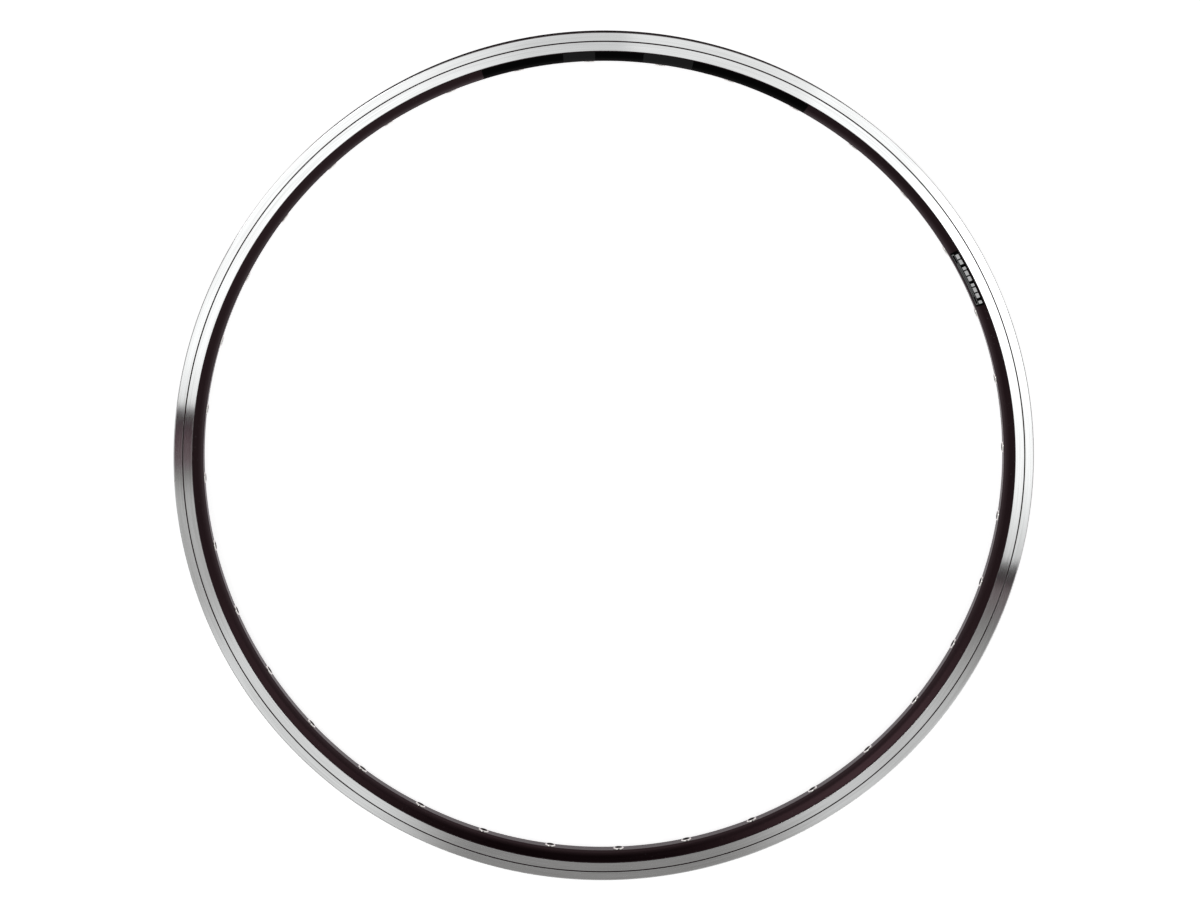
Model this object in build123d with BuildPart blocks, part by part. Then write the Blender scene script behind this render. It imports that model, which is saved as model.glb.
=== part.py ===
from build123d import *

import os
from math import cos, radians, sin, sqrt

from build123d.topology import SkipClean

# Double-wall aluminium bicycle rim, 622 x 19C, drilled and eyeleted for 36 spokes.
# It lies flat: the wheel axis is +Z through the origin, which is the rim's centre.
# The valve hole is on +Y, and the spoke holes step round evenly either side of it.
# Sizes are in millimetres. Section sizes are radii from the axis or half widths from Z = 0.

# Tyre side of the section
bead_seat_diameter = 621.95
flange_height = 6.0
inner_width = 19.0
hook_height = 2.2
hook_slope = 1.0
hook_depth = 1.0
hook_round = 0.7
bead_corner_round = 0.8
bead_ledge_width = 2.7
ledge_round = 1.2
well_depth = 3.7
well_width = 11.4
well_round = 2.0

# Brake tracks, the outer faces of the flanges
flange_tip_width = 3.0
lip_round = 1.1
track_depth = 13.8
track_chamfer = 0.35
wear_groove_depth_from_lip = 6.8
wear_groove_width = 0.9
wear_groove_depth = 0.5

# Sidewalls and spoke bed
section_depth = 21.3
side_step = 0.8
side_step_round = 0.5
shoulder_width = 18.8
shoulder_round = 5.0

# Walls around the closed box
spoke_bed_wall = 1.5
side_wall = 1.1
brake_wall = 1.4
tyre_bed_wall = 1.0
box_corner = 3.0

# Holes
spoke_count = 36
nipple_access_diameter = 8.0
valve_hole_diameter = 8.5
valve_angle = 90.0

# Spoke eyelets, one pressed into each spoke hole
eyelet_bore_diameter = 4.5
eyelet_barrel_diameter = 5.6
eyelet_flange_diameter = 7.9
eyelet_flange_height = 0.9
eyelet_flange_edge = 0.15
eyelet_collar_diameter = 7.0
eyelet_collar_height = 0.6
eyelet_mouth_diameter = 6.1
eyelet_mouth_depth = 0.85
eyelet_clearance = 0.05

# Sizes worked out from those above
bead_seat_radius = bead_seat_diameter / 2
outer_radius = bead_seat_radius + flange_height
hook_z = inner_width / 2
flange_wall_z = hook_z + hook_depth
ledge_z = flange_wall_z - bead_ledge_width
well_radius = bead_seat_radius - well_depth
well_z = well_width / 2
track_z = hook_z + flange_tip_width
step_radius = outer_radius - track_depth
step_z = track_z - side_step
bed_radius = outer_radius - section_depth
shoulder_z = shoulder_width / 2
groove_radius = outer_radius - wear_groove_depth_from_lip
box_floor_radius = bed_radius + spoke_bed_wall
box_z = shoulder_z - side_wall
bed_slope_shift = tyre_bed_wall / 2
spoke_step = 360 / spoke_count
first_spoke_angle = valve_angle + spoke_step / 2
sweep_count = 4
sweep_arc = 360 / sweep_count
first_sweep_angle = valve_angle + spoke_step

os.makedirs("parts", exist_ok=True)


def both_sides(half):
    """Closes a half section, given as (radius, z, corner round) with z above 0, with its mirror image."""
    return half + [(radius, -z, corner) for radius, z, corner in reversed(half)]


# The extrusion's outside, from the spoke bed up the sidewall, over the hook and down into the well
outside = both_sides(
    [
        (bed_radius, shoulder_z, shoulder_round),
        (step_radius, step_z, side_step_round),
        (step_radius, track_z - track_chamfer, 0),
        (step_radius + track_chamfer, track_z, 0),
        (outer_radius, track_z, lip_round),
        (outer_radius, hook_z, hook_round),
        (outer_radius - hook_height, hook_z, 0),
        (outer_radius - hook_height - hook_slope, flange_wall_z, 0),
        (bead_seat_radius, flange_wall_z, bead_corner_round),
        (bead_seat_radius, ledge_z, ledge_round),
        (well_radius, well_z, well_round),
    ]
)

# The closed box between the spoke bed and the tyre bed
box = both_sides(
    [
        (box_floor_radius, box_z - box_corner, 0),
        (box_floor_radius + box_corner / 2, box_z, 0),
        (step_radius, step_z - side_wall, 0),
        (step_radius + side_step, track_z - brake_wall, 0),
        (bead_seat_radius - tyre_bed_wall, track_z - brake_wall, 0),
        (bead_seat_radius - tyre_bed_wall, ledge_z + bed_slope_shift, 0),
        (well_radius - tyre_bed_wall, well_z + bed_slope_shift, 0),
    ]
)

# Rim hoop: the rolled extrusion, its brake tracks machined and its holes drilled.
# It is swept in equal arcs that meet between spoke holes. Their faces are left unmerged,
# so that a mesh of the hoop is alike in every arc.
with BuildPart() as rim_hoop, SkipClean():
    with BuildSketch(Plane.XZ, mode=Mode.PRIVATE) as section:
        with BuildLine():
            FilletPolyline(
                *[(radius, z) for radius, z, corner in outside],
                radius=[corner for radius, z, corner in outside],
                close=True,
            )
        make_face()
        with BuildLine():
            FilletPolyline(
                *[(radius, z) for radius, z, corner in box],
                radius=[corner for radius, z, corner in box],
                close=True,
            )
        make_face(mode=Mode.SUBTRACT)
        with Locations((groove_radius, track_z), (groove_radius, -track_z)):
            Rectangle(wear_groove_width, 2 * wear_groove_depth, mode=Mode.SUBTRACT)
    for number in range(sweep_count):
        turned_section = section.sketch.rotate(Axis.Z, first_sweep_angle + number * sweep_arc)
        revolve(turned_section, axis=Axis.Z, revolution_arc=sweep_arc, clean=False)

    with BuildPart(mode=Mode.PRIVATE) as drilling:
        # Spoke holes in the spoke bed only, for the eyelets' barrels
        with PolarLocations(bed_radius - spoke_bed_wall, spoke_count, first_spoke_angle):
            Cylinder(
                eyelet_barrel_diameter / 2 + eyelet_clearance,
                3 * spoke_bed_wall,
                rotation=(0, 90, 0),
                align=(Align.CENTER, Align.CENTER, Align.MIN),
            )

        # Wider holes in the tyre bed behind them, through which the nipples are put in
        with PolarLocations(well_radius - 2 * tyre_bed_wall, spoke_count, first_spoke_angle):
            Cylinder(
                nipple_access_diameter / 2,
                2 * tyre_bed_wall + well_depth,
                rotation=(0, 90, 0),
                align=(Align.CENTER, Align.CENTER, Align.MIN),
            )

        # Valve hole, straight through both beds
        with PolarLocations(bed_radius - spoke_bed_wall, 1, valve_angle):
            Cylinder(
                valve_hole_diameter / 2,
                section_depth,
                rotation=(0, 90, 0),
                align=(Align.CENTER, Align.CENTER, Align.MIN),
            )
    add(drilling.part, mode=Mode.SUBTRACT, clean=False)

rim_hoop.part.label = "rim_hoop"
export_step(rim_hoop.part, "parts/rim_hoop.step")

# Spoke eyelets: a domed flange under the spoke bed, a barrel through it and a rolled collar in the box.
# The bed is curved, so the flat flange seats where its ends meet the bed, and the collar along its middle.
bore = eyelet_bore_diameter / 2
barrel = eyelet_barrel_diameter / 2
flange = eyelet_flange_diameter / 2
collar = eyelet_collar_diameter / 2
mouth = eyelet_mouth_diameter / 2
flange_seat_radius = sqrt(bed_radius**2 - flange**2)
collar_seat = box_floor_radius - flange_seat_radius
crown = (bore + flange) / 2

for number in range(spoke_count):
    angle = radians(first_spoke_angle + number * spoke_step)
    seat = Plane(
        origin=(flange_seat_radius * cos(angle), flange_seat_radius * sin(angle), 0),
        x_dir=(0, 0, 1),
        z_dir=(-sin(angle), cos(angle), 0),
    )
    with BuildPart() as eyelet:
        with BuildSketch(seat):
            with BuildLine():
                ThreePointArc(
                    (bore, -eyelet_flange_height / 2),
                    (crown, -eyelet_flange_height),
                    (flange, -eyelet_flange_edge),
                )
                Polyline(
                    (flange, -eyelet_flange_edge),
                    (flange, 0),
                    (barrel, 0),
                    (barrel, collar_seat),
                    (collar, collar_seat),
                    (collar, collar_seat + eyelet_collar_height / 2),
                    (mouth, collar_seat + eyelet_collar_height),
                    (bore, collar_seat + eyelet_collar_height - eyelet_mouth_depth),
                    (bore, -eyelet_flange_height / 2),
                )
            make_face()
        revolve(axis=Axis(seat.origin, seat.y_dir))
    eyelet.part.label = f"spoke_eyelet_{number + 1:02d}"
    export_step(eyelet.part, f"parts/spoke_eyelet_{number + 1:02d}.step")
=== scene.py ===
"""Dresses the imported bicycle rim: its hoop, spoke eyelets and side labels, with the studio and camera."""

import logging
import math
from dataclasses import dataclass, field
from enum import Enum
from typing import Optional, Sequence, Union

import bmesh
import bpy
from mathutils import Matrix, Vector


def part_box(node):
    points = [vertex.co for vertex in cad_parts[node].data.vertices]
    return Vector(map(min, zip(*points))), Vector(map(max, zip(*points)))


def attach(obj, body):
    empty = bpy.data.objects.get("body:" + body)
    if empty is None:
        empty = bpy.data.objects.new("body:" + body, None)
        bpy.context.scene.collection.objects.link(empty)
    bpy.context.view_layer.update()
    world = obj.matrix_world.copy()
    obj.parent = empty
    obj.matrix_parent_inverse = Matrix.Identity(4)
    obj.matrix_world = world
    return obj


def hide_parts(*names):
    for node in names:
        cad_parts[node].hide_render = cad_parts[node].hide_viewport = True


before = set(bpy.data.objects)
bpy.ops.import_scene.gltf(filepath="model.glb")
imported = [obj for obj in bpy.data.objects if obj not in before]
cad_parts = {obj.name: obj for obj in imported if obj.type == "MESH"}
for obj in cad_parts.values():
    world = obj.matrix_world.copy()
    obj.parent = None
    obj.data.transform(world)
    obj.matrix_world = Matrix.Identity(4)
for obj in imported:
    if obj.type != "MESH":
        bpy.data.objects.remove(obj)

LOG = logging.getLogger("bicycle_rim")
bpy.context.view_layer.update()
ROOT_BODY = "root"
HOOP_NODE = "rim_hoop"
EYELET_PREFIX = "spoke_eyelet_"

# Sizes of the rim and its labels are in millimetres, and this turns them into Blender's metres.
MM = 0.001

Colour = tuple[float, float, float, float]
Range = tuple[float, float]
Value = Union[float, bpy.types.NodeSocket]


def grey(level: float) -> Colour:
    """Returns a neutral colour of that brightness."""
    return (level, level, level, 1.0)


def direction(azimuth_deg: float, elevation_deg: float) -> Vector:
    """Turns a bearing and a height into a direction.

    Args:
        azimuth_deg: The angle about the wheel axis.
        elevation_deg: The angle over the floor.

    Returns:
        The unit vector.
    """
    azimuth, elevation = math.radians(azimuth_deg), math.radians(elevation_deg)
    level = math.cos(elevation)
    return Vector((math.cos(azimuth) * level, math.sin(azimuth) * level, math.sin(elevation)))


class Role(Enum):
    """The finish that a face of the hoop takes, in the order of its material slots."""

    ANODISED = 0
    MACHINED = 1


class Ink(Enum):
    """What a patch of a label shows: its bare film, or one of the inks printed on it."""

    FILM = 0
    BRIGHT = 1
    FAINT = 2
    DIM = 3


class Wiring:
    """Adds nodes to one node tree and links them."""

    # Places of a Mix node's colour sockets, whose names its other sockets share
    MIX_FIRST, MIX_SECOND, MIX_RESULT = 6, 7, 2

    def __init__(self, tree: bpy.types.NodeTree) -> None:
        """Keeps the material, world or group tree to build in."""
        self.tree = tree

    def add(self, kind: str, **settings: object) -> bpy.types.Node:
        """Adds a node.

        Args:
            kind: Its type.
            **settings: Properties to set on it.

        Returns:
            The node.
        """
        node = self.tree.nodes.new(kind)
        for name, value in settings.items():
            setattr(node, name, value)
        return node

    def feed(self, socket: bpy.types.NodeSocket, value: object) -> None:
        """Links an output to an input, or sets the input's own value.

        Args:
            socket: The input.
            value: The output to link, or a plain number, colour or vector.
        """
        if isinstance(value, bpy.types.NodeSocket):
            self.tree.links.new(value, socket)
        else:
            socket.default_value = value

    def math(self, operation: str, *values: Value, clamp: bool = False) -> bpy.types.NodeSocket:
        """Adds a Math node.

        Args:
            operation: Its operation, such as "MULTIPLY".
            *values: One value for each of its inputs.
            clamp: Whether the result is held between 0 and 1.

        Returns:
            Its output.
        """
        node = self.add("ShaderNodeMath", operation=operation, use_clamp=clamp)
        for socket, value in zip(node.inputs, values):
            self.feed(socket, value)
        return node.outputs[0]

    def plus(self, base: Value, value: Value, share: Value, clamp: bool = False) -> bpy.types.NodeSocket:
        """Returns a base with a share of another value added to it."""
        return self.math("MULTIPLY_ADD", value, share, base, clamp=clamp)

    def hypot(self, x: Value, y: Value) -> bpy.types.NodeSocket:
        """Returns the length of a vector with two parts."""
        return self.math("SQRT", self.plus(self.math("MULTIPLY", y, y), x, x))

    def remap(self, value: Value, span: Range, start: float = 0.0, end: float = 1.0) -> bpy.types.NodeSocket:
        """Maps a range of a value smoothly on to another range.

        Args:
            value: The value to map.
            span: Where the range begins and ends.
            start: The result at its beginning and before.
            end: The result at its end and after.

        Returns:
            The mapped value.
        """
        node = self.add("ShaderNodeMapRange", interpolation_type="SMOOTHSTEP")
        names = ("Value", "From Min", "From Max", "To Min", "To Max")
        for name, setting in zip(names, (value, *span, start, end)):
            self.feed(node.inputs[name], setting)
        return node.outputs["Result"]

    def mix(self, factor: Value, first: object, second: object) -> bpy.types.NodeSocket:
        """Mixes two colours.

        Args:
            factor: The share of the second.
            first: A colour, plain or a socket.
            second: The other colour.

        Returns:
            The mixed colour.
        """
        node = self.add("ShaderNodeMix", data_type="RGBA")
        self.feed(node.inputs["Factor"], factor)
        self.feed(node.inputs[self.MIX_FIRST], first)
        self.feed(node.inputs[self.MIX_SECOND], second)
        return node.outputs[self.MIX_RESULT]

    def split(self, vector: bpy.types.NodeSocket) -> Sequence[bpy.types.NodeSocket]:
        """Takes a vector apart.

        Args:
            vector: The vector.

        Returns:
            Its X, Y and Z.
        """
        node = self.add("ShaderNodeSeparateXYZ")
        self.feed(node.inputs[0], vector)
        return node.outputs

    def join(self, x: Value, y: Value, z: Value) -> bpy.types.NodeSocket:
        """Makes a vector of three values.

        Args:
            x: Its first part.
            y: Its second part.
            z: Its third part.

        Returns:
            The vector.
        """
        node = self.add("ShaderNodeCombineXYZ")
        for socket, value in zip(node.inputs, (x, y, z)):
            self.feed(socket, value)
        return node.outputs[0]

    def noise(self, vector: bpy.types.NodeSocket, scale: float, detail: float = 2.0) -> bpy.types.NodeSocket:
        """Adds a noise texture.

        Args:
            vector: The place to read it at.
            scale: Its scale.
            detail: How many finer layers it has.

        Returns:
            Its value, which is about 0.5 on average.
        """
        node = self.add("ShaderNodeTexNoise")
        self.feed(node.inputs["Vector"], vector)
        node.inputs["Scale"].default_value = scale
        node.inputs["Detail"].default_value = detail
        return node.outputs["Fac"]

    def place(self) -> bpy.types.NodeSocket:
        """Returns the piece's own Object coordinates, in metres."""
        return self.add("ShaderNodeTexCoord").outputs["Object"]

    def use(self, group: bpy.types.NodeTree, place: bpy.types.NodeSocket) -> dict[str, bpy.types.NodeSocket]:
        """Places one of the shared node groups.

        Args:
            group: The group.
            place: The place that it reads.

        Returns:
            Its outputs by name.
        """
        node = self.add("ShaderNodeGroup", node_tree=group)
        self.feed(node.inputs["Place"], place)
        return dict(node.outputs.items())

    def bump(self, shader: bpy.types.Node, height: Value, strength: float, depth: float) -> None:
        """Roughens a shader's normal.

        Args:
            shader: The Principled shader.
            height: The height to follow.
            strength: How much of it shows.
            depth: The height's depth, in millimetres.
        """
        node = self.add("ShaderNodeBump")
        node.inputs["Strength"].default_value = strength
        node.inputs["Distance"].default_value = depth * MM
        self.feed(node.inputs["Height"], height)
        self.feed(shader.inputs["Normal"], node.outputs[0])


@dataclass(frozen=True)
class SharedEffects:
    """Node groups for effects that more than one finish uses, each made once. Scales are noise scales."""

    patch_scale: float = 14.0
    patch_range: Range = (0.48, 0.72)
    hair_scale: float = 160.0
    hair_range: Range = (0.66, 0.78)
    hair_turn: tuple[float, float, float] = (0.4, 0.2, 0.9)
    hair_stretch: tuple[float, float, float] = (1.0, 14.0, 14.0)
    speck_scale: float = 900.0
    speck_range: Range = (0.7, 0.8)
    dust_scale: float = 30.0
    dust_range: Range = (0.45, 0.7)
    ring_place: bpy.types.NodeTree = field(init=False)
    handling: bpy.types.NodeTree = field(init=False)

    def __post_init__(self) -> None:
        """Builds the groups."""
        object.__setattr__(self, "ring_place", self._ring_place())
        object.__setattr__(self, "handling", self._handling())

    @staticmethod
    def _group(name: str, results: dict[str, str]) -> tuple[Wiring, bpy.types.NodeSocket, bpy.types.Node]:
        """Starts a node group that reads a place.

        Args:
            name: The group's name.
            results: Its outputs' names and types.

        Returns:
            The wiring for its tree, the place and its output node.
        """
        tree = bpy.data.node_groups.new(name, "ShaderNodeTree")
        tree.interface.new_socket("Place", in_out="INPUT", socket_type="NodeSocketVector")
        for result, kind in results.items():
            tree.interface.new_socket(result, in_out="OUTPUT", socket_type=f"NodeSocket{kind}")
        w = Wiring(tree)
        return w, w.add("NodeGroupInput").outputs["Place"], w.add("NodeGroupOutput")

    def _ring_place(self) -> bpy.types.NodeTree:
        """Makes the group that gives a place's radius, height and turn about the wheel axis.

        Returns:
            The group.
        """
        results = {"Radius": "Float", "Height": "Float", "Turn": "Float", "Unrolled": "Vector"}
        w, place, end = self._group("ring_place", results)
        x, y, z = w.split(place)
        radius = w.hypot(x, y)
        turn = w.math("ARCTAN2", y, x)
        w.feed(end.inputs["Radius"], radius)
        w.feed(end.inputs["Height"], z)
        w.feed(end.inputs["Turn"], turn)
        w.feed(end.inputs["Unrolled"], w.join(w.math("MULTIPLY", turn, radius), radius, z))
        return w.tree

    def _handling(self) -> bpy.types.NodeTree:
        """Makes the group for dust and hairline scuffs, which change a finish in places.

        Returns:
            The group.
        """
        w, place, end = self._group("handling", {"Scuffs": "Float", "Dust": "Float"})
        patches = w.remap(w.noise(place, self.patch_scale, detail=3.0), self.patch_range)
        stretched = w.add("ShaderNodeMapping")
        w.feed(stretched.inputs["Vector"], place)
        stretched.inputs["Rotation"].default_value = self.hair_turn
        stretched.inputs["Scale"].default_value = self.hair_stretch
        hairs = w.remap(w.noise(stretched.outputs[0], self.hair_scale, detail=1.0), self.hair_range)
        specks = w.remap(w.noise(place, self.speck_scale, detail=1.0), self.speck_range)
        drifts = w.remap(w.noise(place, self.dust_scale), self.dust_range)
        w.feed(end.inputs["Scuffs"], w.math("MULTIPLY", hairs, patches))
        w.feed(end.inputs["Dust"], w.math("MULTIPLY", specks, drifts))
        return w.tree


def new_material(name: str) -> tuple[bpy.types.Material, Wiring, bpy.types.Node]:
    """Starts a material.

    Args:
        name: The material's name.

    Returns:
        The material, the wiring for its tree, and its Principled shader.
    """
    mat = bpy.data.materials.new(name)
    mat.use_nodes = True
    return mat, Wiring(mat.node_tree), mat.node_tree.nodes["Principled BSDF"]


@dataclass(frozen=True)
class AnodisedFinish:
    """Satin black anodising with a brown-violet cast, over an extrusion with faint lines along its length.

    It is duller from the lip outwards, where tyres are levered on and off.
    """

    colour: Colour = (0.0012, 0.0005, 0.0007, 1.0)
    faded: Colour = (0.0035, 0.0016, 0.002, 1.0)
    dusty: Colour = (0.2, 0.2, 0.2, 1.0)
    sheen_cast: Colour = (1.0, 0.56, 0.64, 1.0)
    shine: float = 0.26
    line_scale: float = 1900.0
    line_stretch: float = 0.012
    cloud_scale: float = 22.0
    cloud_range: Range = (0.35, 0.75)
    grain_scale: float = 9000.0
    fading: float = 0.55
    scuff_fading: float = 0.8
    dusting: float = 0.35
    roughness: float = 0.21
    line_roughness: float = 0.14
    dust_roughness: float = 0.2
    cloud_roughness: float = 0.05
    dull_radii: Range = (315.6, 315.9)
    dulling: float = 0.45
    line_relief: float = 0.7
    grain_relief: float = 0.5
    relief: float = 0.22
    relief_depth: float = 0.02

    def material(self, effects: SharedEffects) -> bpy.types.Material:
        """Builds the material.

        Args:
            effects: The shared node groups.

        Returns:
            The material.
        """
        mat, w, shader = new_material("satin_black_anodised")
        place = w.place()
        ring = w.use(effects.ring_place, place)
        lines = w.add("ShaderNodeMapping")
        w.feed(lines.inputs["Vector"], ring["Unrolled"])
        lines.inputs["Scale"].default_value = (self.line_stretch, 1.0, 1.0)
        drawn = w.noise(lines.outputs[0], self.line_scale, detail=3.0)
        cloud = w.noise(place, self.cloud_scale, detail=4.0)
        handling = w.use(effects.handling, place)
        fade = w.plus(w.remap(cloud, self.cloud_range), handling["Scuffs"], self.scuff_fading, clamp=True)
        base = w.mix(w.math("MULTIPLY", fade, self.fading), self.colour, self.faded)
        base = w.mix(w.math("MULTIPLY", handling["Dust"], self.dusting), base, self.dusty)
        w.feed(shader.inputs["Base Color"], base)
        rough = w.plus(self.roughness, drawn, self.line_roughness)
        rough = w.plus(rough, handling["Dust"], self.dust_roughness)
        rough = w.plus(rough, cloud, self.cloud_roughness)
        low, high = self.dull_radii
        dull = w.remap(ring["Radius"], (low * MM, high * MM), end=self.dulling)
        w.feed(shader.inputs["Roughness"], w.math("ADD", rough, dull))
        shader.inputs["Specular IOR Level"].default_value = self.shine
        shader.inputs["Specular Tint"].default_value = self.sheen_cast
        grain = w.math("MULTIPLY", w.noise(place, self.grain_scale, detail=1.0), self.grain_relief)
        w.bump(shader, w.plus(grain, drawn, self.line_relief), self.relief, self.relief_depth)
        return mat


@dataclass(frozen=True)
class MachinedFinish:
    """Bare aluminium faced on a lathe: bright, with fine rings that draw its reflections out across them."""

    colour: Colour = (0.93, 0.93, 0.93, 1.0)
    shaded: Colour = (0.77, 0.765, 0.76, 1.0)
    ring_pitch: float = 0.16
    ring_wander: float = 2.2
    ring_share: float = 0.55
    band_pitch: float = 1.1
    band_wander: float = 7.0
    band_share: float = 0.45
    tone_range: Range = (0.38, 0.72)
    scuff_shading: float = 0.5
    roughness: float = 0.045
    band_roughness: float = 0.02
    scuff_roughness: float = 0.1
    anisotropy: float = 1.0
    grain_turn: float = 0.25
    relief: float = 0.06
    relief_depth: float = 0.01

    def material(self, effects: SharedEffects) -> bpy.types.Material:
        """Builds the material.

        Args:
            effects: The shared node groups.

        Returns:
            The material.
        """
        mat, w, shader = new_material("machined_brake_track")
        place = w.place()
        ring = w.use(effects.ring_place, place)
        rings = self._rings(w, ring, self.ring_pitch, self.ring_wander)
        bands = self._rings(w, ring, self.band_pitch, self.band_wander)
        scuffs = w.use(effects.handling, place)["Scuffs"]
        tone = w.plus(w.math("MULTIPLY", bands, self.band_share), rings, self.ring_share)
        tone = w.plus(w.remap(tone, self.tone_range), scuffs, self.scuff_shading, clamp=True)
        w.feed(shader.inputs["Base Color"], w.mix(tone, self.colour, self.shaded))
        shader.inputs["Metallic"].default_value = 1.0
        rough = w.plus(self.roughness, bands, self.band_roughness)
        w.feed(shader.inputs["Roughness"], w.plus(rough, scuffs, self.scuff_roughness))
        shader.inputs["Anisotropic"].default_value = self.anisotropy
        shader.inputs["Anisotropic Rotation"].default_value = self.grain_turn
        tangent = w.add("ShaderNodeTangent", direction_type="RADIAL", axis="Z")
        w.feed(shader.inputs["Tangent"], tangent.outputs[0])
        w.bump(shader, rings, self.relief, self.relief_depth)
        return mat

    @staticmethod
    def _rings(
        w: Wiring, ring: dict[str, bpy.types.NodeSocket], pitch: float, wander: float
    ) -> bpy.types.NodeSocket:
        """Adds noise in rings about the axis.

        Args:
            w: The wiring.
            ring: The ring_place group's outputs.
            pitch: The rings' spacing, in millimetres.
            wander: How far the rings change in one turn.

        Returns:
            The noise's value.
        """
        spread = w.math("DIVIDE", ring["Radius"], pitch * MM)
        across = w.math("MULTIPLY", w.math("COSINE", ring["Turn"]), wander)
        along = w.math("MULTIPLY", w.math("SINE", ring["Turn"]), wander)
        return w.noise(w.join(spread, across, along), scale=1.0)


@dataclass(frozen=True)
class EyeletFinish:
    """Bright nickel-plated steel, rolled and a little scratched, with painted shade towards the bore, which
    turns dark and not metallic there.
    """

    first_deg: float
    step_deg: float
    colour: Colour = (0.83, 0.815, 0.785, 1.0)
    worn: Colour = (0.62, 0.60, 0.57, 1.0)
    # painted shade: the dark colour of the dome and bore near each eyelet's axis, standing in for the shade
    # inside the hole
    painted_bore_shade: Colour = (0.035, 0.03, 0.03, 1.0)
    painted_shade_edge: Range = (2.75, 3.15)
    cloud_scale: float = 420.0
    cloud_range: Range = (0.45, 0.8)
    roughness: float = 0.15
    cloud_roughness: float = 0.12
    painted_shade_roughness: float = 0.3
    grain_scale: float = 5200.0
    relief: float = 0.08
    relief_depth: float = 0.02

    def material(self, effects: SharedEffects) -> bpy.types.Material:
        """Builds the material.

        Args:
            effects: The shared node groups.

        Returns:
            The material.
        """
        mat, w, shader = new_material("bright_eyelet_metal")
        place = w.place()
        scuffs = w.use(effects.handling, place)["Scuffs"]
        cloud = w.noise(place, self.cloud_scale, detail=3.0)
        tone = w.math("ADD", w.remap(cloud, self.cloud_range), scuffs, clamp=True)
        # Painted shade: near each eyelet's axis the colour turns dark, the metal turns non-metallic and
        # rougher, standing in for the shade in the bore.
        low, high = self.painted_shade_edge
        painted_shade = w.remap(self._from_bore(w, effects, place), (low * MM, high * MM), start=1.0, end=0.0)
        metal = w.mix(tone, self.colour, self.worn)
        w.feed(shader.inputs["Base Color"], w.mix(painted_shade, metal, self.painted_bore_shade))
        w.feed(shader.inputs["Metallic"], w.math("SUBTRACT", 1.0, painted_shade))
        rough = w.plus(self.roughness, cloud, self.cloud_roughness)
        w.feed(shader.inputs["Roughness"], w.plus(rough, painted_shade, self.painted_shade_roughness))
        w.bump(shader, w.noise(place, self.grain_scale), self.relief, self.relief_depth)
        return mat

    def _from_bore(
        self, w: Wiring, effects: SharedEffects, place: bpy.types.NodeSocket
    ) -> bpy.types.NodeSocket:
        """Measures how far a place is from the axis of its own eyelet.

        Args:
            w: The wiring.
            effects: The shared node groups.
            place: The place, in Object coordinates.

        Returns:
            The distance, in metres.
        """
        ring = w.use(effects.ring_place, place)
        half_step = math.radians(self.step_deg) / 2
        turn = w.math("SUBTRACT", ring["Turn"], math.radians(self.first_deg))
        off_axis = w.math("SINE", w.math("WRAP", turn, half_step, -half_step))
        return w.hypot(w.math("MULTIPLY", off_axis, ring["Radius"]), ring["Height"])


@dataclass(frozen=True)
class LabelFinish:
    """Printed film: one flat ink with a little mottle and hardly any shine."""

    name: str
    colour: Colour
    mottled: Colour
    mottle_scale: float = 1500.0
    mottle_range: Range = (0.4, 0.8)
    roughness: float = 0.4
    mottle_roughness: float = 0.12
    shine: float = 0.02

    def material(self, effects: SharedEffects) -> bpy.types.Material:
        """Builds the material.

        Args:
            effects: The shared node groups.

        Returns:
            The material.
        """
        mat, w, shader = new_material(self.name)
        place = w.place()
        scuffs = w.use(effects.handling, place)["Scuffs"]
        mottle = w.remap(w.noise(place, self.mottle_scale, detail=3.0), self.mottle_range)
        mottle = w.math("ADD", mottle, scuffs, clamp=True)
        w.feed(shader.inputs["Base Color"], w.mix(mottle, self.colour, self.mottled))
        w.feed(shader.inputs["Roughness"], w.plus(self.roughness, mottle, self.mottle_roughness))
        shader.inputs["Specular IOR Level"].default_value = self.shine
        return mat


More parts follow.
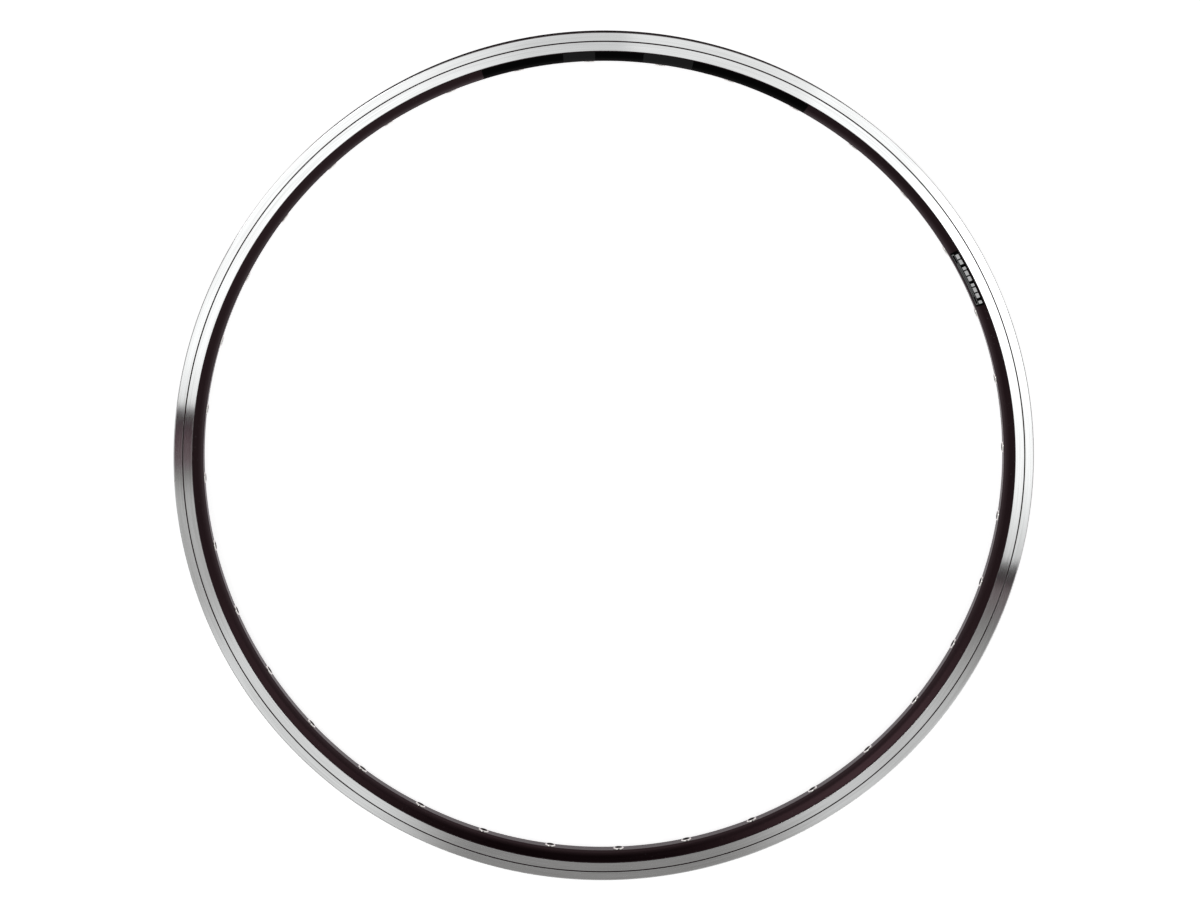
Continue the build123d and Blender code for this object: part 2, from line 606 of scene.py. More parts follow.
class Bench:
    """The editing moves that the pieces are modelled with."""

    SMOOTH_ANGLE = math.radians(28)
    SAME_PLACE = 0.01 * MM
    FACE_AREA_WEIGHT = 100

    @staticmethod
    def clear() -> None:
        """Leaves edit mode and deselects everything."""
        if bpy.context.object and bpy.context.object.mode != "OBJECT":
            bpy.ops.object.mode_set(mode="OBJECT")
        bpy.ops.object.select_all(action="DESELECT")

    @classmethod
    def only(cls, obj: bpy.types.Object) -> None:
        """Selects one object alone and makes it active.

        Args:
            obj: The object.
        """
        cls.clear()
        obj.select_set(True)
        bpy.context.view_layer.objects.active = obj

    @classmethod
    def draw_line(cls, name: str, points: Sequence[Vector]) -> bpy.types.Object:
        """Merges a small plane to one vertex and extrudes it from point to point, left in edit mode.

        Args:
            name: The new object's name.
            points: The line's points in order, in metres.

        Returns:
            The new object, which sits at the origin.
        """
        cls.clear()
        bpy.ops.mesh.primitive_plane_add(size=MM, location=(0, 0, 0))
        obj = bpy.context.object
        obj.name = obj.data.name = name
        bpy.ops.object.mode_set(mode="EDIT")
        bpy.ops.mesh.select_all(action="SELECT")
        bpy.ops.mesh.merge(type="CENTER")
        bpy.ops.transform.translate(value=points[0])
        for last, point in zip(points, points[1:]):
            bpy.ops.mesh.extrude_region_move(TRANSFORM_OT_translate={"value": point - last})
        return obj

    @classmethod
    def pick(cls, obj: bpy.types.Object, places: Sequence[Vector]) -> None:
        """Selects, in edit mode, the vertices at some places.

        Args:
            obj: The object being edited.
            places: The places, in metres.
        """
        mesh = bmesh.from_edit_mesh(obj.data)
        bpy.ops.mesh.select_all(action="DESELECT")
        for vertex in mesh.verts:
            if any((vertex.co - place).length < cls.SAME_PLACE for place in places):
                vertex.select_set(True)
        mesh.select_flush_mode()
        bmesh.update_edit_mesh(obj.data)

    @classmethod
    def join(cls, name: str, pieces: Sequence[bpy.types.Object]) -> bpy.types.Object:
        """Joins objects into the first of them.

        Args:
            name: The joined object's name.
            pieces: The objects.

        Returns:
            The joined object.
        """
        cls.only(pieces[0])
        for piece in pieces[1:]:
            piece.select_set(True)
        bpy.ops.object.join()
        pieces[0].name = pieces[0].data.name = name
        return pieces[0]

    @classmethod
    def smooth(cls, obj: bpy.types.Object) -> None:
        """Smooths an object's rounds and keeps its flats flat, with normals weighted by face area.

        Args:
            obj: The object.
        """
        cls.only(obj)
        bpy.ops.object.shade_smooth_by_angle(angle=cls.SMOOTH_ANGLE)
        weighted = obj.modifiers.new("flat_faces", "WEIGHTED_NORMAL")
        weighted.mode = "FACE_AREA"
        weighted.weight = cls.FACE_AREA_WEIGHT
        weighted.keep_sharp = True
        bpy.ops.object.modifier_apply(modifier=weighted.name)

    @staticmethod
    def spin(steps: int, arc: float, copies: bool = False) -> None:
        """Spins all of the edited mesh about the wheel axis, anticlockwise from above.

        Args:
            steps: How many steps.
            arc: The whole angle, in radians.
            copies: Whether it makes separate copies and not a swept surface.
        """
        bpy.ops.mesh.select_all(action="SELECT")
        bpy.ops.mesh.spin(
            steps=steps,
            dupli=copies,
            angle=-arc,
            use_auto_merge=not copies,
            center=(0, 0, 0),
            axis=(0, 0, 1),
        )

    @classmethod
    def sweep(cls, steps: int, arc: float, merge: float, inward: bool = False) -> None:
        """Spins all of the edited mesh into a surface and leaves edit mode.

        Args:
            steps: How many steps.
            arc: The whole angle, in radians.
            merge: How near points are merged, in millimetres.
            inward: Whether the faces point into the shape, as the wall of a hollow does.
        """
        cls.spin(steps, arc)
        bpy.ops.mesh.select_all(action="SELECT")
        bpy.ops.mesh.remove_doubles(threshold=merge * MM)
        bpy.ops.mesh.normals_make_consistent(inside=inward)
        bpy.ops.object.mode_set(mode="OBJECT")


@dataclass(frozen=True)
class Corner:
    """One corner of the hoop's section, in millimetres."""

    radius: float
    height: float
    rounding: float = 0.0
    steps: int = 1

    def mirrored(self) -> "Corner":
        """Returns the same corner on the other face."""
        return Corner(self.radius, -self.height, self.rounding, self.steps)

    def point(self) -> Vector:
        """Returns the corner's place in the section plane, in metres."""
        return Vector((self.radius * MM, 0.0, self.height * MM))


@dataclass
class RimHoop:
    """The rolled double-wall hoop: spun from its section, drilled, and faced on both brake tracks.

    The lip is faced to where it tilts by lip_faced_deg. The nick's tip, depth and sink are shares of its
    size.
    """

    outer_radius: float
    half_width: float
    spoke_count: int
    valve_deg: float = 90.0

    flange_height: float = 6.0
    flange_tip_width: float = 3.0
    hook_height: float = 2.2
    hook_slope: float = 1.0
    hook_depth: float = 1.0
    hook_round: float = 0.7
    bead_corner_round: float = 0.8
    bead_ledge_width: float = 2.7
    ledge_round: float = 1.2
    well_depth: float = 3.7
    well_width: float = 11.4
    well_round: float = 2.0
    lip_round: float = 1.1
    lip_faced_deg: float = 33.0
    track_depth: float = 13.8
    track_chamfer: float = 0.35
    groove_from_lip: float = 6.8
    groove_width: float = 0.9
    groove_depth: float = 0.5
    groove_black_from: float = 0.02
    section_depth: float = 21.3
    side_step: float = 0.8
    side_step_round: float = 0.5
    shoulder_width: float = 16.6
    shoulder_rise: float = 2.2
    shoulder_round: float = 9.0
    bed_width: float = 9.6
    bed_edge_round: float = 0.5
    bed_wall: float = 1.5
    side_wall: float = 1.1
    brake_wall: float = 1.4
    tyre_bed_wall: float = 1.0
    spoke_hole: float = 5.7
    access_hole: float = 8.0
    valve_hole: float = 8.5
    edge_break: float = 0.09
    spin_steps: int = 576
    box_spin_steps: int = 288
    merge: float = 0.005
    drill_sides: int = 40
    drill_margin: float = 2.0
    nick_deg: float = 184.9
    nick_size: float = 2.8
    nick_sides: int = 5
    nick_tip: float = 0.15
    nick_depth: float = 0.8
    nick_sink: float = 0.25
    nick_clear: float = 0.25
    nick_tilt_deg: float = -135.0
    nick_twist_deg: float = 17.0
    obj: Optional[bpy.types.Object] = field(default=None, init=False)

    @property
    def step_radius(self) -> float:
        """Radius of the step between the sidewall and the brake track."""
        return self.outer_radius - self.track_depth

    @property
    def step_height(self) -> float:
        """Height of the sidewall's outer end over the mid plane."""
        return self.half_width - self.side_step

    @property
    def bed_radius(self) -> float:
        """Radius of the spoke bed's outer face."""
        return self.outer_radius - self.section_depth

    @property
    def seat_radius(self) -> float:
        """Radius of the seats for the tyre's beads."""
        return self.outer_radius - self.flange_height

    @property
    def well_radius(self) -> float:
        """Radius of the bottom of the tyre's well."""
        return self.seat_radius - self.well_depth

    @property
    def groove_radius(self) -> float:
        """Radius of the middle of the wear groove."""
        return self.outer_radius - self.groove_from_lip

    @property
    def lip_foot(self) -> float:
        """Height at which the lip's facing ends and its anodising begins."""
        return self.half_width - self.lip_round * (1 - math.cos(math.radians(self.lip_faced_deg)))

    @property
    def bed_edge(self) -> Corner:
        """The edge of the flat spoke bed."""
        return Corner(self.bed_radius, self.bed_width / 2, self.bed_edge_round, 3)

    @property
    def shoulder(self) -> Corner:
        """The round shoulder between the spoke bed's edge and the sidewall."""
        radius = self.bed_radius + self.shoulder_rise
        return Corner(radius, self.shoulder_width / 2, self.shoulder_round, 8)

    @property
    def side_top(self) -> Corner:
        """The corner between the sidewall and the step below the brake track."""
        return Corner(self.step_radius, self.step_height, self.side_step_round, 4)

    def build(self) -> None:
        """Models the hoop and hides the plain node that it stands for."""
        outside = self._spun("hoop_outside", self._outside(), self.spin_steps, inward=False)
        box = self._spun("hoop_box", self._box(), self.box_spin_steps, inward=True)
        self.obj = Bench.join("machined_rim_hoop", [outside, box])
        self._drill()
        Bench.smooth(self.obj)
        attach(self.obj, ROOT_BODY)
        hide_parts(HOOP_NODE)

    def _outside(self) -> list[Corner]:
        """Lays out the section's outside, from the spoke bed over the top face to the well, and back below.

        Returns:
            The outline's corners.
        """
        top = self.half_width
        hook = top - self.flange_tip_width
        wall = hook + self.hook_depth
        groove_in = self.groove_radius - self.groove_width / 2
        groove_out = self.groove_radius + self.groove_width / 2
        groove_floor = top - self.groove_depth
        hook_foot = self.outer_radius - self.hook_height
        half = [
            self.bed_edge,
            self.shoulder,
            self.side_top,
            Corner(self.step_radius, top - self.track_chamfer, self.edge_break, 2),
            Corner(self.step_radius + self.track_chamfer, top, self.edge_break, 2),
            Corner(groove_in, top, self.edge_break, 2),
            Corner(groove_in, groove_floor, self.edge_break, 2),
            Corner(groove_out, groove_floor, self.edge_break, 2),
            Corner(groove_out, top, self.edge_break, 2),
            Corner(self.outer_radius, top, self.lip_round, 7),
            Corner(self.outer_radius, hook, self.hook_round, 6),
            Corner(hook_foot, hook, self.edge_break, 2),
            Corner(hook_foot - self.hook_slope, wall, self.edge_break, 2),
            Corner(self.seat_radius, wall, self.bead_corner_round, 4),
            Corner(self.seat_radius, wall - self.bead_ledge_width, self.ledge_round, 3),
            Corner(self.well_radius, self.well_width / 2, self.well_round, 4),
        ]
        return half + [corner.mirrored() for corner in reversed(half)]

    def _box(self) -> list[Corner]:
        """Lays out the closed box between the two beds.

        Returns:
            The outline's corners.
        """
        shoulder = self.shoulder
        brake = self.half_width - self.brake_wall
        ceiling = self.seat_radius - self.tyre_bed_wall
        ledge = self.half_width - self.flange_tip_width + self.hook_depth - self.bead_ledge_width
        slope_shift = self.tyre_bed_wall / 2
        half = [
            Corner(self.bed_radius + self.bed_wall, self.bed_edge.height),
            Corner(shoulder.radius + self.bed_wall, shoulder.height - self.side_wall),
            Corner(self.step_radius, self.step_height - self.side_wall),
            Corner(self.step_radius + self.side_step, brake),
            Corner(ceiling, brake),
            Corner(ceiling, ledge + slope_shift),
            Corner(self.well_radius - self.tyre_bed_wall, self.well_width / 2 + slope_shift),
        ]
        return half + [corner.mirrored() for corner in reversed(half)]

    def _spun(self, name: str, corners: list[Corner], steps: int, inward: bool) -> bpy.types.Object:
        """Draws a closed outline, rounds its corners and spins it about the axis.

        Args:
            name: The object's name.
            corners: The outline's corners in order.
            steps: The spin's steps in a whole turn.
            inward: Whether the faces point into the shape, as the wall of a hollow does.

        Returns:
            The spun object.
        """
        points = [corner.point() for corner in corners]
        obj = Bench.draw_line(name, points)
        Bench.pick(obj, (points[0], points[-1]))
        bpy.ops.mesh.edge_face_add()
        for index, corner in enumerate(corners):
            if corner.rounding:
                self._round(obj, corner, points[index - 1], points[(index + 1) % len(points)])
        Bench.sweep(steps, 2 * math.pi, self.merge, inward)
        return obj

    @staticmethod
    def _round(obj: bpy.types.Object, corner: Corner, last: Vector, following: Vector) -> None:
        """Rounds one corner of an outline with an arc that meets both sides.

        Args:
            obj: The outline being edited.
            corner: The corner to round.
            last: The point before it.
            following: The point after it.
        """
        place = corner.point()
        turn = (place - last).angle(following - place)
        Bench.pick(obj, (place,))
        bpy.ops.mesh.bevel(
            offset_type="OFFSET",
            offset=corner.rounding * MM * math.tan(turn / 2) * math.sin((math.pi - turn) / 2),
            segments=corner.steps,
            profile=0.5,
            affect="VERTICES",
        )

    def _drill(self) -> None:
        """Drills the spoke, nipple and valve holes and cuts the nick in the flange's edge."""
        spoke_deg = self.valve_deg + 180.0 / self.spoke_count
        bed, well, margin = self.bed_radius, self.well_radius, self.drill_margin
        bed_span = (bed - margin, bed + self.bed_wall + margin)
        well_span = (well - self.tyre_bed_wall - margin, well + margin)
        drills = [
            self._drill_bit(self.spoke_hole, bed_span, spoke_deg, self.spoke_count),
            self._drill_bit(self.access_hole, well_span, spoke_deg, self.spoke_count),
            self._drill_bit(self.valve_hole, (bed - margin, well + margin), self.valve_deg, 1),
            self._nick_cutter(),
        ]
        cutter = Bench.join("drills", drills)
        Bench.only(self.obj)
        cut = self.obj.modifiers.new("drilled", "BOOLEAN")
        cut.operation = "DIFFERENCE"
        cut.solver = "MANIFOLD"
        cut.object = cutter
        bpy.ops.object.modifier_apply(modifier=cut.name)
        bpy.data.objects.remove(cutter)

    def _drill_bit(self, diameter: float, span: Range, deg: float, count: int) -> bpy.types.Object:
        """Makes round bits that point at the axis.

        Args:
            diameter: The hole's diameter.
            span: The radii at which a bit begins and ends.
            deg: The first bit's angle.
            count: How many there are, evenly round the rim.

        Returns:
            The bits, as one object.
        """
        low, high = span
        Bench.clear()
        bpy.ops.mesh.primitive_cylinder_add(
            vertices=self.drill_sides,
            radius=diameter / 2 * MM,
            depth=(high - low) * MM,
            location=((low + high) / 2 * MM, 0, 0),
            rotation=(0, math.pi / 2, 0),
        )
        bits = bpy.context.object
        bpy.ops.object.transform_apply(location=True, rotation=True, scale=True)
        bits.data.transform(Matrix.Rotation(math.radians(deg), 4, "Z"))
        if count > 1:
            bpy.ops.object.mode_set(mode="EDIT")
            Bench.spin(count - 1, 2 * math.pi * (count - 1) / count, copies=True)
            bpy.ops.object.mode_set(mode="OBJECT")
        return bits

    def _nick_cutter(self) -> bpy.types.Object:
        """Makes the blunt pyramid that takes a small nick out of the upper flange's edge.

        Returns:
            The pyramid.
        """
        Bench.clear()
        size = self.nick_size * MM
        bpy.ops.mesh.primitive_cone_add(
            vertices=self.nick_sides,
            radius1=size,
            radius2=size * self.nick_tip,
            depth=size * self.nick_depth,
        )
        nick = bpy.context.object
        edge = Vector((self.outer_radius + self.nick_clear, 0, self.half_width + self.nick_clear)) * MM
        tilt = Matrix.Rotation(math.radians(self.nick_tilt_deg), 4, "Y")
        twist = Matrix.Rotation(math.radians(self.nick_twist_deg), 4, "Z")
        sink = Matrix.Translation(Vector((0, 0, size * self.nick_sink)))
        turn = Matrix.Rotation(math.radians(self.nick_deg), 4, "Z")
        nick.data.transform(turn @ Matrix.Translation(edge) @ tilt @ twist @ sink)
        return nick

    def dress(self, anodised: bpy.types.Material, machined: bpy.types.Material) -> None:
        """Gives the machined faces their bare metal and leaves the rest black.

        Args:
            anodised: The black finish.
            machined: The bare machined finish.
        """
        self.obj.data.materials.clear()
        self.obj.data.materials.append(anodised)
        self.obj.data.materials.append(machined)
        for face in self.obj.data.polygons:
            face.material_index = self._role(face.center).value

    def _role(self, centre: Vector) -> Role:
        """Says which finish a face has.

        Args:
            centre: The face's middle.

        Returns:
            Its role.
        """
        radius = math.hypot(centre.x, centre.y) / MM
        height = abs(centre.z) / MM
        top = self.half_width
        on_track = radius > self.step_radius and height > top - self.edge_break / 2
        on_lip = radius > self.outer_radius - self.lip_round and height > self.lip_foot
        near_groove = abs(radius - self.groove_radius) < self.groove_width / 2
        in_groove = near_groove and height < top - self.groove_black_from
        nick = (direction(self.nick_deg, 0.0) * self.outer_radius + Vector((0, 0, top))) * MM
        in_nick = (centre - nick).length < self.nick_size * MM / 2
        if on_lip or in_nick or (on_track and not in_groove):
            return Role.MACHINED
        return Role.ANODISED


@dataclass
class SpokeEyelets:
    """The ring of pressed metal eyelets, one in each spoke hole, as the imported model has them."""

    nodes: list[bpy.types.Object]

    def dress(self, metal: bpy.types.Material) -> None:
        """Gives every eyelet its metal.

        Args:
            metal: The eyelets' finish.
        """
        for node in self.nodes:
            node.data.materials.clear()
            node.data.materials.append(metal)


@dataclass(frozen=True)
class Patch:
    """A stretch of the sidewall that one ink covers.

    The shares run from 0 at the spoke bed's edge, round the shoulder, to 1 at the step under the brake track.
    """

    low: float
    high: float
    start_deg: float
    end_deg: float
    ink: Ink


@dataclass(frozen=True)
class SmallLabelPrint:
    """The small label: a row of light blocks on black film, and inside it a framed row of faint lines."""

    film: Patch = Patch(0.14, 0.97, 25.95, 34.45, Ink.FILM)
    margin_deg: float = 0.3
    blocks: int = 9
    block_rows: Range = (0.575, 0.87)
    block_share: float = 0.78
    narrow_share: float = 0.5
    narrow_every: int = 3
    frame_rows: Range = (0.24, 0.5)
    line_rows: tuple[float, ...] = (0.31, 0.40)
    line_height: float = 0.03
    line_indents: Range = (1.2, 1.4)
    post_deg: float = 0.12

    def patches(self) -> list[Patch]:
        """Lays out the print.

        Returns:
            The printed patches.
        """
        left, right = self.film.start_deg + self.margin_deg, self.film.end_deg - self.margin_deg
        low, high = self.frame_rows
        printed = [
            Patch(low, low + self.line_height, left, right, Ink.FAINT),
            Patch(high - self.line_height, high, left, right, Ink.FAINT),
            Patch(low, high, left, left + self.post_deg, Ink.FAINT),
            Patch(low, high, right - self.post_deg, right, Ink.FAINT),
        ]
        start, end = left + self.line_indents[0], right - self.line_indents[1]
        for row in self.line_rows:
            printed.append(Patch(row, row + self.line_height, start, end, Ink.FAINT))
        pitch = (right - left) / self.blocks
        for index in range(self.blocks):
            start = left + index * pitch
            share = self.block_share if index % self.narrow_every else self.narrow_share
            printed.append(Patch(*self.block_rows, start, start + pitch * share, Ink.BRIGHT))
        return printed


@dataclass(frozen=True)
class LongDecalPrint:
    """The long decal: black film round the far side, with two blocks of ink that hardly show on it."""

    film: Patch = Patch(0.02, 1.0, 63.65, 110.0, Ink.FILM)
    blocks: tuple[Range, ...] = ((80.6, 87.5), (94.2, 98.6))

    def patches(self) -> list[Patch]:
        """Returns the printed patches."""
        return [Patch(self.film.low, self.film.high, start, end, Ink.DIM) for start, end in self.blocks]


@dataclass
class SideLabel:
    """A printed film stuck on the sidewall and round its shoulder, with plain blocks and lines for print."""

    name: str
    hoop: RimHoop
    inks: dict[Ink, bpy.types.Material]
    layout: Union[SmallLabelPrint, LongDecalPrint]
    film_thickness: float = 0.07
    ink_thickness: float = 0.03
    step_deg: float = 0.25
    rows: int = 16
    merge: float = 0.002
    obj: Optional[bpy.types.Object] = field(default=None, init=False)

    def build(self) -> None:
        """Models the film and the print on it."""
        parts = [self._patch(self.layout.film, self.film_thickness)]
        for patch in self.layout.patches():
            parts.append(self._patch(patch, self.film_thickness + self.ink_thickness))
        self.obj = Bench.join(self.name, parts)
        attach(self.obj, ROOT_BODY)

    def _surface(self, share: float) -> tuple[Vector, Vector]:
        """Follows the hoop's section from the spoke bed's edge to the step under the brake track.

        Args:
            share: How far along.

        Returns:
            The place in the section plane, in metres, and the direction away from the metal.
        """
        edge, top = self.hoop.bed_edge.point(), self.hoop.side_top.point()
        shoulder = self.hoop.shoulder.point()
        rounding = self.hoop.shoulder.rounding * MM
        facet = (shoulder - edge).normalized()
        side = (top - shoulder).normalized()
        turn = facet.angle(side)
        reach = rounding * math.tan(turn / 2)
        gap = self.hoop.side_top.rounding * MM
        first = (shoulder - edge).length - reach - gap
        arc = rounding * turn
        last = (top - shoulder).length - reach - gap
        along = share * (first + arc + last)
        outward = Vector((-side.z, 0, side.x))
        if along >= first + arc:
            return shoulder + side * (reach + along - first - arc), outward
        centre = shoulder + side * reach - outward * rounding
        turned = min((first + arc - along) / arc, 1.0) * turn
        spoke = Matrix.Rotation(-turned, 3, "Y") @ outward
        place = centre + spoke * rounding
        if along < first:
            place = place - facet * (first - along)
        return place, spoke

    def _patch(self, patch: Patch, lift: float) -> bpy.types.Object:
        """Spins a strip of the section's outline into a thin patch that stands off the metal.

        Args:
            patch: Where it is, and its ink.
            lift: How far its face stands off the metal, in millimetres.

        Returns:
            The patch.
        """
        height, arc = patch.high - patch.low, patch.end_deg - patch.start_deg
        rows = max(2, round(height * self.rows))
        turn = Matrix.Rotation(math.radians(patch.start_deg), 3, "Z")
        points = []
        for index in range(rows + 1):
            place, outward = self._surface(patch.low + height * index / rows)
            points.append(turn @ (place + outward * lift * MM))
        obj = Bench.draw_line("label_patch", points)
        Bench.sweep(max(1, round(arc / self.step_deg)), math.radians(arc), self.merge)
        self._face_out(obj)
        thick = obj.modifiers.new("thickness", "SOLIDIFY")
        thick.thickness = lift * MM
        thick.offset = -1.0
        bpy.ops.object.modifier_apply(modifier=thick.name)
        obj.data.materials.append(self.inks[patch.ink])
        bpy.ops.object.shade_smooth_by_angle(angle=Bench.SMOOTH_ANGLE)
        return obj

    @staticmethod
    def _face_out(obj: bpy.types.Object) -> None:
        """Turns an open patch's faces up, away from the metal.

        Args:
            obj: The patch.
        """
        if sum(face.normal.z * face.area for face in obj.data.polygons) < 0:
            Bench.only(obj)
            bpy.ops.object.mode_set(mode="EDIT")
            bpy.ops.mesh.select_all(action="SELECT")
            bpy.ops.mesh.flip_normals()
            bpy.ops.object.mode_set(mode="OBJECT")


@dataclass(frozen=True)
class PhotoCamera:
    """The camera, placed by a perspective fit to the rim's rings in a frame of 1200 by 900 pixels.

    Its distance is in metres, and its tilt is from straight down.
    """

    distance: float = 2.535
    tilt_deg: float = 9.66
    azimuth_deg: float = 97.63
    picture_up_deg: float = 92.91
    focal_pixels: float = 3424.3
    frame_width: float = 1200.0
    frame_height: float = 900.0
    centre_x: float = 604.2
    centre_y: float = 462.2
    sensor_width: float = 36.0

    def location(self) -> Vector:
        """Returns where the camera stands."""
        return self.distance * direction(self.azimuth_deg, 90.0 - self.tilt_deg)

    def build(self) -> None:
        """Adds the camera and makes it the scene's."""
        data = bpy.data.cameras.new("photo_camera")
        data.sensor_width = self.sensor_width
        data.lens = self.focal_pixels / self.frame_width * self.sensor_width
        data.shift_x = (self.frame_width / 2 - self.centre_x) / self.frame_width
        data.shift_y = (self.centre_y - self.frame_height / 2) / self.frame_width
        camera = bpy.data.objects.new("photo_camera", data)
        bpy.context.scene.collection.objects.link(camera)
        back = self.location().normalized()
        right = direction(self.picture_up_deg, 0.0).cross(back).normalized()
        up = back.cross(right)
        turn = Matrix((right, up, back)).transposed()
        camera.matrix_world = Matrix.Translation(self.location()) @ turn.to_4x4()
        bpy.context.scene.camera = camera


@dataclass(frozen=True)
class Panel:
    """A panel of the studio: a sector of directions, brighter or darker than the rest, with soft ends.

    Each end's softness is the angle that it fades over, in degrees.
    """

    start_deg: float
    end_deg: float
    brightness: float
    start_soft: float = 1.4
    end_soft: float = 1.4


@dataclass(frozen=True)
class SoftBox:
    """A large soft lamp that points at the rim. Its distance and size are in metres."""

    name: str
    azimuth_deg: float
    elevation_deg: float
    watts: float
    distance: float = 3.0
    size: float = 1.4

    def build(self) -> None:
        """Adds the lamp."""
        data = bpy.data.lights.new(self.name, "AREA")
        data.shape = "SQUARE"
        data.size = self.size
        data.energy = self.watts
        lamp = bpy.data.objects.new(self.name, data)
        bpy.context.scene.collection.objects.link(lamp)
        towards = direction(self.azimuth_deg, self.elevation_deg)
        lamp.location = towards * self.distance
        lamp.rotation_euler = towards.to_track_quat("Z", "Y").to_euler()
        lamp.visible_camera = False


@dataclass(frozen=True)
class Studio:
    """A white room: a pale floor, soft boxes, and a ceiling of bright and dim panels over dimmer walls.

    The ceiling is laid out as the brake track mirrors it to the camera, so that its panels' angles are the
    angles round the track. It gives way to the walls between the two spreads of panel_reach, in rim radii.
    """

    camera: PhotoCamera
    rim_radius: float
    floor_height: float
    horizon: float = 0.02
    panel_reach: Range = (1.8, 3.0)
    ceiling_level: float = 0.01
    ceiling: tuple[Panel, ...] = (
        Panel(-11.4, 175.2, 1.1, start_soft=0.7, end_soft=1.2),
        Panel(171.0, 175.2, -0.24, start_soft=9.0, end_soft=1.2),
        Panel(-11.4, -4.0, -0.43, start_soft=0.7, end_soft=16.0),
        Panel(17.0, 42.0, 0.8, start_soft=22.0, end_soft=13.0),
        Panel(63.6, 89.6, -0.17),
        Panel(69.0, 89.6, -0.10, start_soft=10.0),
        Panel(89.6, 111.0, -0.46, end_soft=34.0),
        Panel(178.6, 244.0, 0.1, start_soft=6.0, end_soft=22.0),
        Panel(185.4, 244.0, 0.33, start_soft=7.0, end_soft=22.0),
        Panel(206.0, 244.0, 0.26, start_soft=16.0, end_soft=22.0),
        Panel(239.0, 311.0, 0.24, start_soft=16.0, end_soft=16.0),
        Panel(302.0, 332.0, 0.52, start_soft=30.0, end_soft=26.0),
        Panel(325.0, 345.3, 0.135, start_soft=20.0),
    )
    wall_level: float = 0.52
    walls: tuple[Panel, ...] = (
        Panel(54.0, 116.0, -0.5, start_soft=24.0, end_soft=20.0),
        Panel(240.0, 280.0, -0.2, start_soft=30.0, end_soft=30.0),
        Panel(293.0, 337.0, 0.3, start_soft=30.0, end_soft=30.0),
    )
    skirting_level: float = 0.9
    skirting: tuple[Panel, ...] = (Panel(60.0, 125.0, -0.35, start_soft=30.0, end_soft=30.0),)
    skirting_range: Range = (0.15, 0.5)
    deep_cast: Colour = (1.0, 0.55, 0.68, 1.0)
    dim_cast: Colour = (1.0, 0.985, 0.97, 1.0)
    bright_cast: Colour = (0.985, 1.0, 1.0, 1.0)
    deep_range: Range = (0.03, 0.22)
    bright_range: Range = (0.1, 0.7)
    floor_colour: float = 0.8
    floor_glow: float = 0.72
    floor_mirrored: float = 0.5
    mirrored_cast: Colour = (1.0, 0.9, 0.96, 1.0)
    floor_size: float = 40.0
    lamps: tuple[SoftBox, ...] = (
        SoftBox("key_softbox", azimuth_deg=143.0, elevation_deg=43.0, watts=16.0),
        SoftBox("fill_softbox", azimuth_deg=30.0, elevation_deg=45.0, watts=7.5),
    )

    def build(self) -> None:
        """Adds the room and its light."""
        for lamp in self.lamps:
            lamp.build()
        self._floor()
        self._world()

    def _floor(self) -> None:
        """Adds the floor that the rim lies on, white to the eye and to reflections, and keeping shadows."""
        Bench.clear()
        bpy.ops.mesh.primitive_plane_add(size=self.floor_size, location=(0, 0, self.floor_height))
        floor = bpy.context.object
        floor.name = "studio_floor"
        mat = bpy.data.materials.new("white_floor")
        mat.use_nodes = True
        mat.node_tree.nodes.clear()
        w = Wiring(mat.node_tree)
        diffuse = w.add("ShaderNodeBsdfDiffuse")
        diffuse.inputs["Color"].default_value = grey(self.floor_colour)
        rays = w.add("ShaderNodeLightPath").outputs
        mirrored = w.math("ADD", rays["Is Glossy Ray"], rays["Is Transmission Ray"], clamp=True)
        level = w.math("MULTIPLY", rays["Is Camera Ray"], self.floor_glow)
        glow = w.add("ShaderNodeEmission")
        w.feed(glow.inputs["Color"], w.mix(mirrored, grey(1.0), self.mirrored_cast))
        w.feed(glow.inputs["Strength"], w.plus(level, mirrored, self.floor_mirrored))
        both = w.add("ShaderNodeAddShader")
        w.feed(both.inputs[0], diffuse.outputs[0])
        w.feed(both.inputs[1], glow.outputs[0])
        w.feed(w.add("ShaderNodeOutputMaterial").inputs["Surface"], both.outputs[0])
        floor.data.materials.append(mat)

    def _world(self) -> None:
        """Builds the ceiling, walls and skirting as the world's light."""
        world = bpy.data.worlds.new("studio")
        bpy.context.scene.world = world
        world.use_nodes = True
        world.node_tree.nodes.clear()
        w = Wiring(world.node_tree)
        x, y, z = w.split(w.add("ShaderNodeTexCoord").outputs["Generated"])
        eye = self.camera.location()
        height = w.math("MAXIMUM", z, self.horizon)
        face_x = w.plus(eye.x, w.math("DIVIDE", x, height), eye.z)
        face_y = w.plus(eye.y, w.math("DIVIDE", y, height), eye.z)
        ceiling = self._panelled(w, self._bearing(w, face_x, face_y), self.ceiling_level, self.ceiling)
        bearing = self._bearing(w, x, y)
        walls = self._panelled(w, bearing, self.wall_level, self.walls)
        skirting = self._panelled(w, bearing, self.skirting_level, self.skirting)
        walls = self._between(w, w.remap(z, self.skirting_range), skirting, walls)
        spread = w.math("DIVIDE", w.hypot(face_x, face_y), self.rim_radius)
        level = self._between(w, w.remap(spread, self.panel_reach), ceiling, walls)
        cast = w.mix(w.remap(level, self.bright_range), self.dim_cast, self.bright_cast)
        cast = w.mix(w.remap(level, self.deep_range), self.deep_cast, cast)
        background = w.add("ShaderNodeBackground")
        w.feed(background.inputs["Color"], cast)
        w.feed(background.inputs["Strength"], level)
        w.feed(w.add("ShaderNodeOutputWorld").inputs["Surface"], background.outputs[0])

    @staticmethod
    def _bearing(w: Wiring, x: Value, y: Value) -> bpy.types.NodeSocket:
        """Returns the angle of a place about the wheel axis, in degrees."""
        return w.math("DEGREES", w.math("ARCTAN2", y, x))

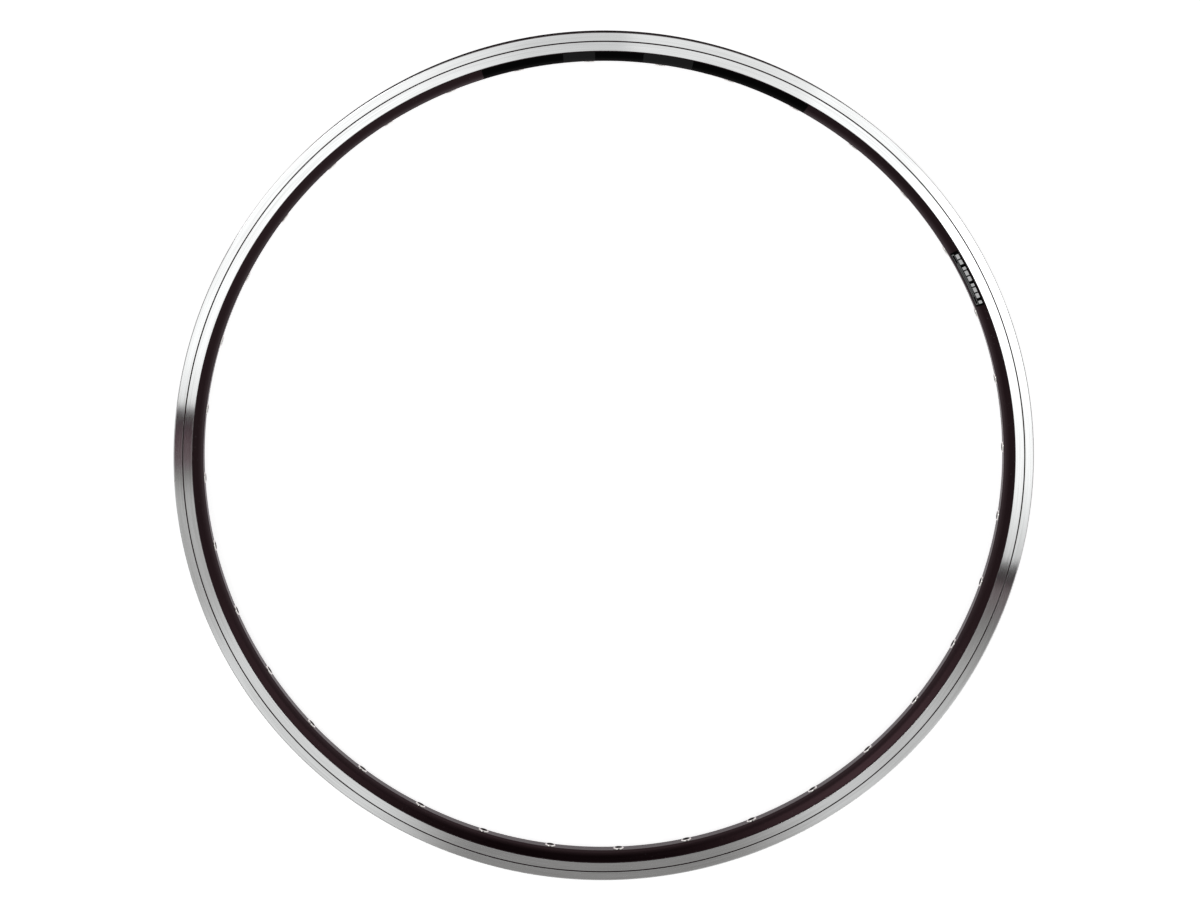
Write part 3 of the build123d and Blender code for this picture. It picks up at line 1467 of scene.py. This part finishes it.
    @staticmethod
    def _between(w: Wiring, share: Value, first: Value, second: Value) -> bpy.types.NodeSocket:
        """Returns a value that goes from the first to the second as the share goes from 0 to 1."""
        return w.plus(first, share, w.math("SUBTRACT", second, first))

    @staticmethod
    def _panelled(w: Wiring, bearing: Value, level: Value, panels: Sequence[Panel]) -> bpy.types.NodeSocket:
        """Adds soft-edged panels to an even level.

        Args:
            w: The wiring of the world's tree.
            bearing: The direction's angle, in degrees.
            level: The brightness between the panels.
            panels: The panels.

        Returns:
            The brightness in that direction.
        """
        for panel in panels:
            middle, half = (panel.start_deg + panel.end_deg) / 2, (panel.end_deg - panel.start_deg) / 2
            along = w.math("WRAP", w.math("SUBTRACT", bearing, middle), 180.0, -180.0)
            rise, fall = panel.start_soft / 2, panel.end_soft / 2
            begun = w.remap(along, (-half - rise, -half + rise), end=panel.brightness)
            lasting = w.remap(along, (half - fall, half + fall), start=1.0, end=0.0)
            level = w.plus(level, begun, lasting)
        return w.math("MAXIMUM", level, 0.0)


def corners(box: tuple[Vector, Vector]) -> list[list[float]]:
    """Returns a box's lowest and highest corners as plain lists."""
    return [list(corner) for corner in box]


def main() -> None:
    """Builds the pieces in order, dresses them, and sets up the studio."""
    bpy.context.scene.view_settings.view_transform = "Standard"
    low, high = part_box(HOOP_NODE)
    eyelet_nodes = [node for name, node in sorted(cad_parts.items()) if name.startswith(EYELET_PREFIX)]
    effects = SharedEffects()

    hoop = RimHoop(high.x / MM, high.z / MM, len(eyelet_nodes))
    hoop.build()
    hoop.dress(AnodisedFinish().material(effects), MachinedFinish().material(effects))
    LOG.info("hoop: %d faces", len(hoop.obj.data.polygons))

    eyelets = SpokeEyelets(eyelet_nodes)
    spoke_step = 360.0 / hoop.spoke_count
    eyelets.dress(EyeletFinish(hoop.valve_deg + spoke_step / 2, spoke_step).material(effects))
    LOG.info("eyelets: %d", len(eyelets.nodes))

    inks = {
        Ink.FILM: LabelFinish("label_black_film", grey(0.0004), grey(0.0008)).material(effects),
        Ink.BRIGHT: LabelFinish("label_white_ink", grey(0.62), grey(0.48)).material(effects),
        Ink.FAINT: LabelFinish("label_grey_ink", grey(0.25), grey(0.16)).material(effects),
        Ink.DIM: LabelFinish("label_dim_ink", grey(0.0145), grey(0.017)).material(effects),
    }
    for label in (
        SideLabel("side_label", hoop, inks, SmallLabelPrint()),
        SideLabel("long_side_decal", hoop, inks, LongDecalPrint()),
    ):
        label.build()
        LOG.info("%s: %d faces", label.name, len(label.obj.data.polygons))

    camera = PhotoCamera()
    camera.build()
    Studio(camera, high.x, low.z).build()
    Bench.clear()


if __name__ == "__main__":
    logging.basicConfig(level=logging.INFO)
    main()
